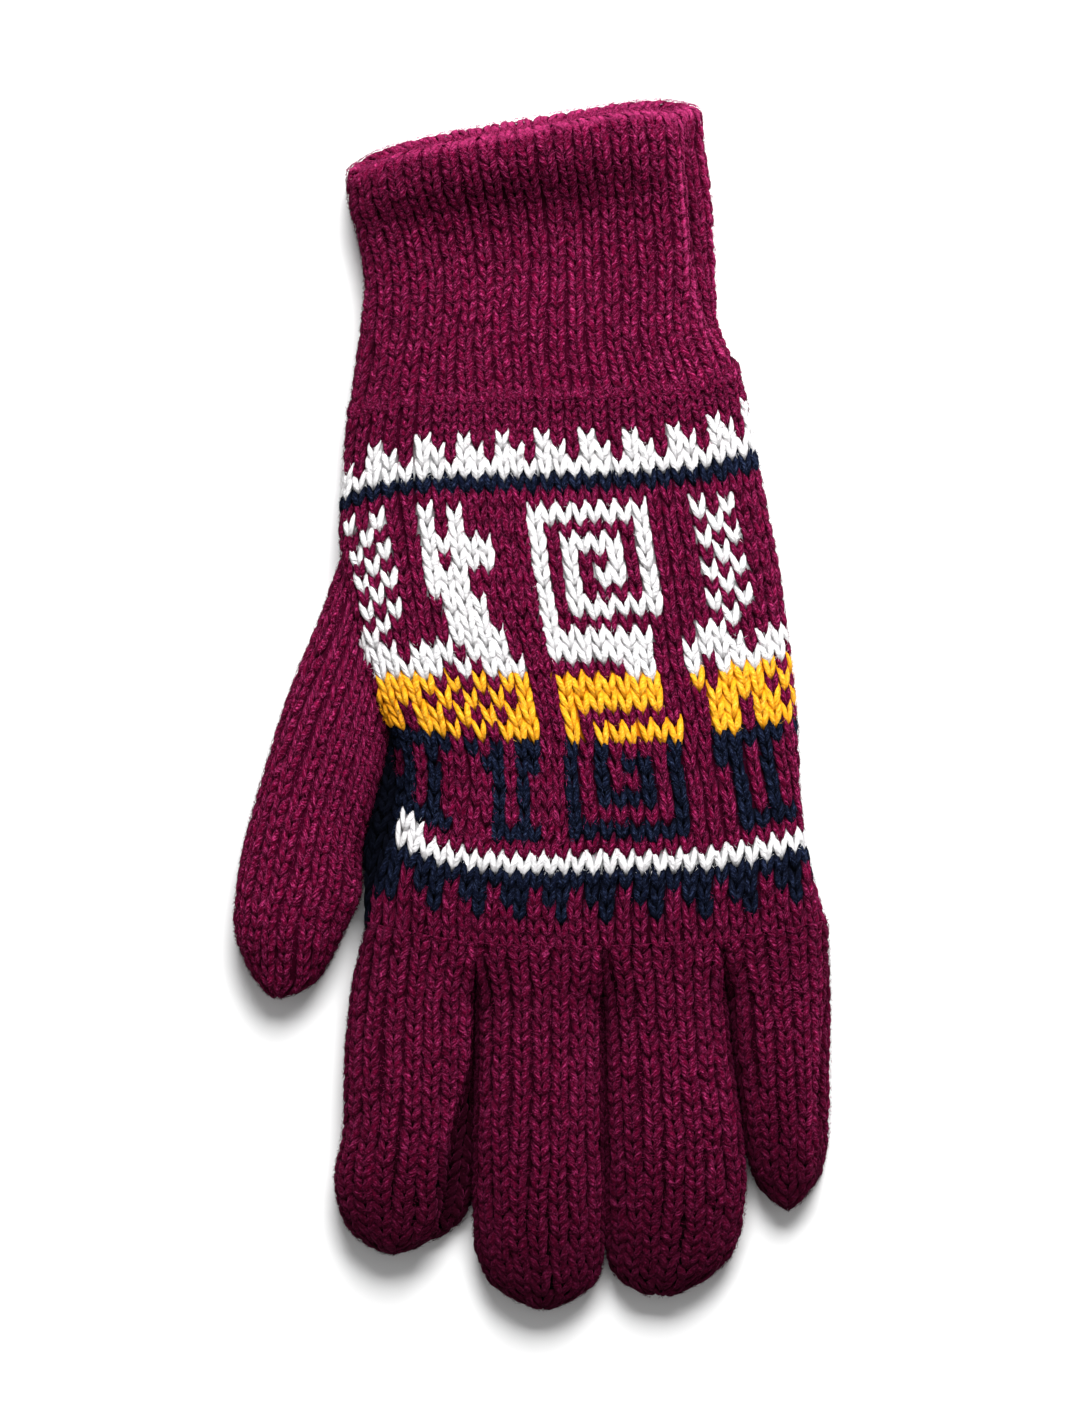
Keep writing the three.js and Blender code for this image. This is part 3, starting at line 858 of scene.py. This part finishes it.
def hull(*skins):
    """The surface of some tubes, to measure other tubes' stitches against."""
    points, corners = [], []
    for skin in skins:
        grid = skin.grid[::2, ::2]
        high, wide = grid.shape[:2]
        first = len(points) + np.arange(high * wide).reshape(high, wide)
        corners += np.stack((first[:-1, :-1], first[:-1, 1:], first[1:, 1:], first[1:, :-1]),
                            axis=2).reshape(-1, 4).tolist()
        points += grid.reshape(-1, 3).tolist()
    return BVHTree.FromPolygons(points, corners)


PAST_A_CROSSING = 0.01
INSIDE_THE_SKIN = 0.5


def swallowed(spot, neighbour):
    """Whether a place lies inside a neighbouring tube: its skin is above and below."""
    for way in (1, -1):
        crossings = 0
        start = spot
        while start is not None:
            hit = neighbour.ray_cast(start, Vector((0, 0, way)))[0]
            crossings += hit is not None
            start = None if hit is None else hit + Vector((0, 0, way * PAST_A_CROSSING))
        if crossings % 2 == 0:
            return False
    return True


def outside(skin, stitches, neighbour, margin):
    """The stitches that aren't swallowed by a neighbouring tube, further in than a margin."""
    kept = []
    for row, column, span in stitches:
        spot = Vector(skin.at(row, column, -INSIDE_THE_SKIN))
        if not swallowed(spot, neighbour) or neighbour.find_nearest(spot)[3] < margin:
            kept.append((row, column, span))
    return kept


hand_hull = hull(hand_skin)
thumb_hull = hull(thumb_skin)
thumb_stitches = outside(thumb_skin, thumb_stitches, hand_hull, margin=1.0)


# The four fingers are plain tubes picked up from the end of the hand, each worked round
# and drawn together at its tip. The index finger lies half on its side, so a fold runs
# down it and its lower layer shows beside the fold.
FINGERS = {
    "index_finger": [
        (-35.9, -48.6, -12.4, -52.8, 12.6, 13.4, 12.8, -0.3),
        (-38.8, -61.0, -12.4, -64.0, 12.4, 13.2, 12.6, -0.4, 0.0, 0.0, 0.2, 0.0, 0.6),
        (-40.4, -76.0, -11.9, -77.6, 12.2, 13.0, 12.0, -0.4, 0.0, 0.0, 1.2, 0.0, 1.8),
        (-40.6, -90.0, -12.2, -90.8, 12.2, 13.0, 11.6, -0.4, 0.0, 0.0, 5.6, 0.0, 2.2),
        (-42.6, -102.0, -12.2, -102.6, 11.4, 12.0, 10.8, -0.6, 0.0, 0.0, 9.2, 0.0, 2.2),
        (-41.2, -109.8, -13.8, -110.0, 10.0, 10.4, 9.6, -1.0, 0.0, 0.0, 9.0, 0.0, 1.6),
        (-38.0, -115.0, -19.6, -114.8, 8.0, 8.4, 7.8, -1.4, 0.0, 0.0, 3.0, 0.0, 0.6),
    ],
    "middle_finger": [
        (-12.0, -52.9, 14.6, -53.5, 13.0, 13.4, 13.0, -0.3),
        (-12.0, -66.0, 15.0, -66.0, 12.6, 13.4, 12.6, -0.4),
        (-12.3, -80.0, 15.2, -80.0, 12.4, 13.4, 12.4, -0.5),
        (-12.7, -94.0, 15.4, -94.0, 12.2, 13.2, 12.2, -0.6),
        (-12.8, -106.0, 15.5, -106.0, 11.2, 12.0, 11.2, -0.8),
        (-12.2, -117.0, 15.2, -117.4, 9.6, 10.2, 9.6, -1.2),
        (-8.4, -125.4, 12.8, -125.4, 7.6, 8.0, 7.6, -1.6),
    ],
    "ring_finger": [
        (15.0, -53.5, 40.3, -51.7, 13.0, 13.4, 13.0, -0.3),
        (15.0, -66.0, 41.7, -65.0, 12.6, 13.4, 12.6, -0.4),
        (15.2, -80.0, 43.2, -79.2, 12.4, 13.4, 12.4, -0.5),
        (15.4, -93.0, 45.0, -92.4, 12.2, 13.0, 12.2, -0.6),
        (15.5, -105.0, 45.7, -104.8, 10.8, 11.6, 10.8, -0.8),
        (15.8, -115.8, 44.0, -115.8, 9.0, 9.6, 9.0, -1.2),
        (18.0, -123.4, 39.0, -122.8, 7.2, 7.6, 7.2, -1.4),
    ],
    "little_finger": [
        (40.7, -51.6, 63.4, -48.2, 12.8, 13.2, 12.4, -0.3),
        (42.0, -62.6, 64.1, -60.6, 12.2, 13.0, 12.2, -0.4, 0.0, 0.0, 0.6, 0.0, 0.8),
        (43.4, -75.0, 64.4, -74.6, 12.0, 12.8, 12.0, -0.4, 0.0, 0.0, 2.4, 0.0, 2.4),
        (45.0, -87.6, 64.3, -87.6, 10.8, 11.4, 10.8, -0.4, 0.0, 0.0, 3.0, 0.0, 2.6),
        (46.3, -97.0, 63.7, -97.2, 9.0, 9.4, 9.0, -0.6, 0.0, 0.0, 1.8, 0.0, 1.8),
        (48.6, -103.4, 61.4, -103.2, 7.2, 7.6, 7.2, -1.0, 0.0, 0.0, 0.6, 0.0, 0.6),
    ],
}

# The foremost point of each finger, and its height.
TIPS = {
    "index_finger": (-30.2, -118.4, 4.6),
    "middle_finger": (2.2, -130.4, 4.6),
    "ring_finger": (27.4, -127.9, 4.6),
    "little_finger": (55.0, -108.9, 4.6),
}
FINGER_ROUND = {"index_finger": 17, "middle_finger": 17, "ring_finger": 17, "little_finger": 14}
FINGER_ROW = 2.58
FINGER_STITCH = 3.9

hand_end = rings(hand_run[-1:])[0]
finger_skins = {}
finger_knitting = {}
for name, table in FINGERS.items():
    skin, rows = finger_skin(table, TIPS[name], FINGER_ROUND[name], FINGER_ROW, root=hand_end)
    finger_skins[name] = (skin, rows)
    finger_knitting[name] = finger_stitches(skin, rows, FINGER_ROUND[name], FINGER_STITCH)


# In the folds and creases of the wool little light reaches the pits between the stitches,
# so painted shade darkens them there, and where the skin bends sharply a painted highlight
# makes the fuzz paler.
GOLDEN_ANGLE = 2.399963
SKY_RAYS = 20
LOWEST_RAY = 0.08
SKY_GLOW = 0.6
WINDOW_GLOW = 2.0
OUT_OF_THE_SKIN = 1.3
SKY_REACH = 16.0
WHOLE_SKY_SHARE = 0.4
SHARP_BEND = (0.14, 0.34)
EDGE_HIGHLIGHT_PALER = 0.7

# Painted light along each tube, from its first row to its last: shares of the way, and how much.
CUFF_DIMMING = ((0, 0.25, 0.35, 1), (0.95, 0.95, 1, 1))
HAND_DIMMING = ((0, 0.8, 0.97), (1, 1, 0.70))
THUMB_DIMMING = ((0, 1.1), (1, 1.2))
FINGER_DIMMING = ((0, 0.08, 0.3, 0.6, 0.8, 1), (0.68, 0.70, 0.82, 0.69, 0.36, 0.08))

# Painted light across the cuff, by x, and painted shade in the gap beside the thumb.
CUFF_ACROSS = ((-38, -10, 20, 38), (0.84, 1, 1, 1.16))
GAP_DIMMING = 0.08

# The fold on the index finger runs through these places, as (y, x), and beyond it lies
# painted shade, so strong by y.
INDEX_FOLD = ((-109.3, -21.9), (-103.1, -20.6), (-96.6, -19.4), (-85.9, -16.1), (-77.7, -13.1))
INDEX_FOLD_DARK = ((-114, -106, -80, -72), (0.75, 0.95, 0.97, 0))


def sky():
    """Ways up to the light, spread evenly, each with how bright it is there."""
    ways = []
    for k in range(SKY_RAYS):
        z = LOWEST_RAY + (1 - LOWEST_RAY) * (k + 0.5) / SKY_RAYS
        out = math.sqrt(1 - z * z)
        way = Vector((out * math.cos(k * GOLDEN_ANGLE), out * math.sin(k * GOLDEN_ANGLE), z))
        facing = max(0.0, way.dot(WINDOW_PLACE.normalized()))
        ways.append((way, SKY_GLOW + WINDOW_GLOW * facing ** 2))
    return ways


def painted_edge_highlight(skin):
    """The painted highlight at each place: 1, and more where the skin bends sharply."""
    ring = skin.grid[:, :-1]
    normal = skin.normals[:, :-1]
    turned_across = np.roll(normal, -2, 1) - np.roll(normal, 2, 1)
    moved_across = np.roll(ring, -2, 1) - np.roll(ring, 2, 1)
    bend = 0
    for turned, moved in ((turned_across, moved_across),
                          (np.gradient(normal, axis=0), np.gradient(ring, axis=0))):
        bend = bend + (turned * moved).sum(axis=2) / np.maximum((moved ** 2).sum(axis=2), 1e-6)
    start, full = SHARP_BEND
    highlight = 1 + EDGE_HIGHLIGHT_PALER * np.clip((bend - start) / (full - start), 0, 1)
    return np.concatenate((highlight, highlight[:, :1]), axis=1)


def work_out_shade(skin, glove, dimming, depth=2.2):
    """Fills in the painted light of a skin, from the ways up that the rest of the glove leaves free.

    depth is how strongly painted shade darkens a closed place."""
    ways = sky()
    whole = sum(way.z * bright for way, bright in ways)
    found = np.ones(skin.grid[::2, ::2].shape[:2])
    for i, j in np.ndindex(found.shape):
        normal = Vector(skin.normals[2 * i, 2 * j])
        if normal.z < skin.UNDERSIDE:
            continue
        start = Vector(skin.grid[2 * i, 2 * j]) + normal * OUT_OF_THE_SKIN
        falling = [(way, bright * normal.dot(way)) for way, bright in ways if normal.dot(way) > 0]
        light = sum(much for way, much in falling if glove.ray_cast(start, way, SKY_REACH)[0] is None)
        own = min(whole, sum(much for _, much in falling))
        free = WHOLE_SKY_SHARE * whole + (1 - WHOLE_SKY_SHARE) * own
        found[i, j] = min(1.0, light / free) ** depth
    high, wide = skin.open.shape[:2]
    skin.open[:, :, 0] = found.repeat(2, axis=0).repeat(2, axis=1)[:high, :wide]
    # Painted shade falls off along the tube, and painted highlight lies on sharp bends.
    skin.open[:, :, 0] *= np.interp(np.arange(high) / high, *dimming)[:, None] * painted_edge_highlight(skin)


glove_hull = hull(cuff_skin, hand_skin, thumb_skin, *(skin for skin, _ in finger_skins.values()))
work_out_shade(cuff_skin, glove_hull, CUFF_DIMMING, depth=1.9)
# Painted light across the cuff: darker to the left and lighter to the right.
cuff_skin.open[:, :, 0] *= np.interp(cuff_skin.grid[:, :, 0], *CUFF_ACROSS)
work_out_shade(hand_skin, glove_hull, HAND_DIMMING)
# Painted shade: the wool in the gap beside the thumb is darkened nearly to black.
in_gap = hand_skin.grid[:, :, 0] < np.interp(hand_skin.grid[:, :, 1], *zip(*FOLD))
hand_skin.open[in_gap & (hand_skin.grid[:, :, 1] < CREVICE_TOP)] *= GAP_DIMMING
work_out_shade(thumb_skin, glove_hull, THUMB_DIMMING)
for skin, _ in finger_skins.values():
    work_out_shade(skin, glove_hull, FINGER_DIMMING)
# Painted shade on the lower layer beyond the index finger's fold.
index_skin = finger_skins["index_finger"][0]
index_x = index_skin.grid[:, :, 0]
index_y = index_skin.grid[:, :, 1]
past_fold = index_x - np.interp(index_y, *zip(*INDEX_FOLD))
how_dark = np.interp(index_y, *INDEX_FOLD_DARK)
index_skin.open[:, :, 0] *= 1 - how_dark * np.interp(past_fold, (-0.6, 0.6), (0, 1))


# Loose fibres stand out of the yarn all over and soften every edge. Each is a fine closed
# hair that leaves its stitch at a low slant, tapers and ends free, in the dye of its yarn.
HAIR_LENGTH = (0.35, 1.3)
HAIR_LIFT = (0.0, 0.70)
HAIR_RADIUS = 0.055
HAIR_BED = 0.28
HAIR = Rod(2, 3, tip=0.0)
ROW_TALL = 2.6
COLUMN_WIDE = 3.7


def fuzz(name, skin, stitches, per_stitch, seed):
    """Loose hairs that stand out of some of the stitches that show."""
    rng = np.random.default_rng(seed)
    stitches = np.array(stitches, float)
    stitches = stitches[~skin.faces_down(stitches[:, 0], stitches[:, 1])]
    count = round(len(stitches) * per_stitch)
    row, column, _ = stitches[rng.integers(0, len(stitches), count)].T
    row = row + rng.uniform(-0.5, 0.5, count)
    column = column + rng.uniform(-0.5, 0.5, count)
    length = rng.uniform(*HAIR_LENGTH, count)
    heading = rng.uniform(0, 2 * math.pi, count)
    root = skin.at(row, column, np.full(count, HAIR_BED))
    end_row = row + length * np.sin(heading) / ROW_TALL
    end_column = column + length * np.cos(heading) / COLUMN_WIDE
    end = skin.at(end_row, end_column, HAIR_BED + rng.uniform(*HAIR_LIFT, count))
    ahead = unit(end - root)
    first = unit(np.cross(ahead, (0.3, 0.2, 0.93)))
    second = np.cross(ahead, first)
    placed = (root[:, None] + (end - root)[:, None] * HAIR.part[None, :, None]
              + first[:, None] * (HAIR.across * HAIR_RADIUS)[None, :, None]
              + second[:, None] * (HAIR.up * HAIR_RADIUS)[None, :, None])
    placed[:, :, 2] = np.maximum(placed[:, :, 2], TABLE_TOP)
    loops, sizes = HAIR.copies(count)
    corners = len(HAIR.part)
    tone_and_painted_light = np.repeat(rng.uniform(0, 1, count), corners)
    uv = np.column_stack((tone_and_painted_light * 40, np.tile(HAIR.part, count)))
    # Each hair is paler at random, and takes the painted light and shade of its place.
    paleness_and_painted_light = (1 + rng.uniform(0.0, 1.0, count) ** 1.5) * skin.painted_light_at(row, column)
    return strands(name, placed.reshape(-1, 3) * MM, loops, sizes, uv, tone_and_painted_light,
                   np.repeat(paleness_and_painted_light, corners))


# The cuff is knitted in burgundy from inside its hem to the start of the hand. Its rim is
# felted: the stitches lie flat there and are full of fuzz, and its yarn is lighter, a painted
# highlight where light catches the fuzz.
HAIRINESS = {".": 18.0, "W": 12.0, "Y": 8.0, "N": 16.0}
RIM_HAIRINESS = 40.0
HEM_GROUND = 1.9
rim_start = HEM_DEPTH - 1
rim_end = HEM_DEPTH + HEM / 2 * math.pi + 1.5
felted = [rim_start < cuff_places[row] < rim_end for row, _, _ in cuff_stitches]
cuff_piece = knit("cuff_stitches", cuff_skin, cuff_stitches, seed=11,
                  relief=np.where(felted, 0.25, 0.85), rib=0.28, tone_and_painted_light=np.where(felted, 1.1, 0.5),
                  spread=0.85, slim=0.95, felt=np.where(felted, 0.8, 0.1))
place(cuff_piece, BURGUNDY, "cuff_wool", "cuff")
cuff_ground_rows = np.arange(1.5, cuff_rows + 0.6, GROUND_STEP)
cuff_ground = ground("cuff_ground", cuff_skin, cuff_ground_rows, HEM_GROUND)
place(cuff_ground, backing, "cuff_wool", "cuff")
cuff_hairs = fuzz("cuff_fuzz", cuff_skin, cuff_stitches, HAIRINESS["."], seed=61)
place(cuff_hairs, BURGUNDY, "cuff_wool")
rim_stitches = [stitch for stitch, soft in zip(cuff_stitches, felted) if soft]
rim_hairs = fuzz("rim_fuzz", cuff_skin, rim_stitches, RIM_HAIRINESS, seed=60)
place(rim_hairs, BURGUNDY, "cuff_wool")


# The hand's stitches and loose fibres are one piece for each yarn. Behind them lies one
# ground, which has at each place the dye of the yarn in front of it, with painted shade.
for key, (colour, material) in YARNS.items():
    hand_stitches[key] = outside(hand_skin, hand_stitches[key], thumb_hull, margin=1.6)
    piece = knit("hand_" + colour + "_stitches", hand_skin, hand_stitches[key], seed=21 + ord(key),
                 relief=RELIEF[key], plump=PLUMPNESS[key], reach=0.88)
    place(piece, material, "hand_wool", "hand")
    hairs = fuzz("hand_" + colour + "_fuzz", hand_skin, hand_stitches[key], HAIRINESS[key],
                 seed=62 + ord(key))
    place(hairs, material, "hand_wool")
hand_ground_rows = np.arange(first_row + 0.6, len(CHART) + PLAIN_BELOW - 0.1, GROUND_STEP)
hand_ground = ground("hand_ground", hand_skin, hand_ground_rows, FABRIC, yarn_at=yarn_behind)
place(hand_ground, backing, "hand_wool", "hand")


# The thumb is plain burgundy, and its columns of stitches stand apart a little. The ground
# of a closed tube ends in a point outside and another within, this far from its tip.
GROUND_TIP = (1.2, 3.2)


def closed_ground(name, skin, rows):
    """The ground of a tube that closes at its tip."""
    end = skin.grid[-1].mean(axis=0)
    middle = skin.grid[len(skin.grid) // 2].mean(axis=0)
    tips = [end + unit(middle - end) * depth for depth in GROUND_TIP]
    return ground(name, skin, np.arange(-1.0, rows + 0.3, GROUND_STEP), FABRIC, tips)


# Its tone is a little lighter, painted light on the thumb.
thumb_piece = knit("thumb_stitches", thumb_skin, thumb_stitches, seed=31, relief=0.85, rib=0.4,
                   tone_and_painted_light=0.6, spread=0.85, slim=0.95)
place(thumb_piece, BURGUNDY, "thumb_wool", "thumb")
place(closed_ground("thumb_ground", thumb_skin, thumb_rows), backing, "thumb_wool", "thumb")
thumb_hairs = fuzz("thumb_fuzz", thumb_skin, thumb_stitches, HAIRINESS["."], seed=63)
place(thumb_hairs, BURGUNDY, "thumb_wool")


# The fingers are plain burgundy too. Towards their tips the stitches are drawn together,
# so they are plumper and the furrows between their columns close.
for number, (name, (skin, rows)) in enumerate(finger_skins.items()):
    up_to_tip = np.array([row / rows for row, _, _ in finger_knitting[name]])
    # Their tone is darker, painted shade on the fingers.
    piece = knit(name + "_stitches", skin, finger_knitting[name], seed=41 + number, relief=0.85,
                 rib=np.interp(up_to_tip, (0.6, 0.9), (0.28, 0.05)), tone_and_painted_light=0.4, spread=0.92,
                 slim=0.95, felt=np.interp(up_to_tip, (0.7, 0.95), (0, 0.35)),
                 plump=np.interp(up_to_tip, (0.6, 0.9), (1, 1.16)))
    place(piece, BURGUNDY, "finger_wool", name)
    place(closed_ground(name + "_ground", skin, rows), backing, "finger_wool", name)
    hairs = fuzz(name + "_fuzz", skin, finger_knitting[name], HAIRINESS["."], seed=64 + number)
    place(hairs, BURGUNDY, "finger_wool")
